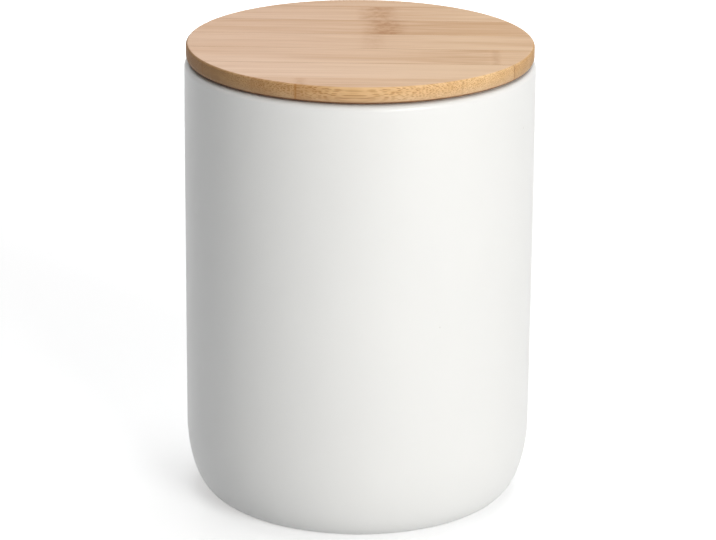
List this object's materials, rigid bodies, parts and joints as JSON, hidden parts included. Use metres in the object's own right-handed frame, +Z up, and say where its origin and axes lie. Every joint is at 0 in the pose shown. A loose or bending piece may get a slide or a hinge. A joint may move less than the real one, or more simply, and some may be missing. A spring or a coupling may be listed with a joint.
{
  "type": "storage jar",
  "caption": "Straight-sided white glazed ceramic canister with a rounded heel, and a flat bamboo strip lid that plugs the mouth with a silicone seal and lifts off.",
  "frame": {"origin": "centre of the foot, on the surface that the jar stands on", "axes": "+Z up along the jar's axis, X along the lid's bamboo strips, -Y towards the viewer of the picture"},
  "size_m": [0.12, 0.12, 0.1603],
  "materials": {
    "white_glaze": "satin white glaze, bare and slightly rough on the foot ring",
    "silicone": "milky translucent silicone, matt",
    "bamboo_board": "sanded flat-grain bamboo with a thin matt oil",
    "bamboo_plug": "sanded flat-grain bamboo, unfinished"
  },
  "bodies": {
    "jar": {"jar_body": "white_glaze"},
    "seal": {"seal_ring": "silicone"},
    "lid": {"lid_board_strip_1": "bamboo_board", "lid_board_strip_2": "bamboo_board", "lid_board_strip_3": "bamboo_board", "lid_board_strip_4": "bamboo_board", "lid_board_strip_5": "bamboo_board", "lid_board_strip_6": "bamboo_board", "lid_board_strip_7": "bamboo_board", "lid_plug_strip_1": "bamboo_plug", "lid_plug_strip_2": "bamboo_plug", "lid_plug_strip_3": "bamboo_plug", "lid_plug_strip_4": "bamboo_plug", "lid_plug_strip_5": "bamboo_plug", "lid_plug_strip_6": "bamboo_plug"}
  },
  "joints": [
    {"name": "lid_lift", "type": "slide", "parent": "jar", "child": "seal", "axis": [0, 0, 1], "range_m": [0, 0.15]},
    {"name": "lid_turn", "type": "hinge", "parent": "seal", "child": "lid", "pos_m": [0, 0, 0.15], "axis": [0, 0, 1], "continuous": true}
  ]
}
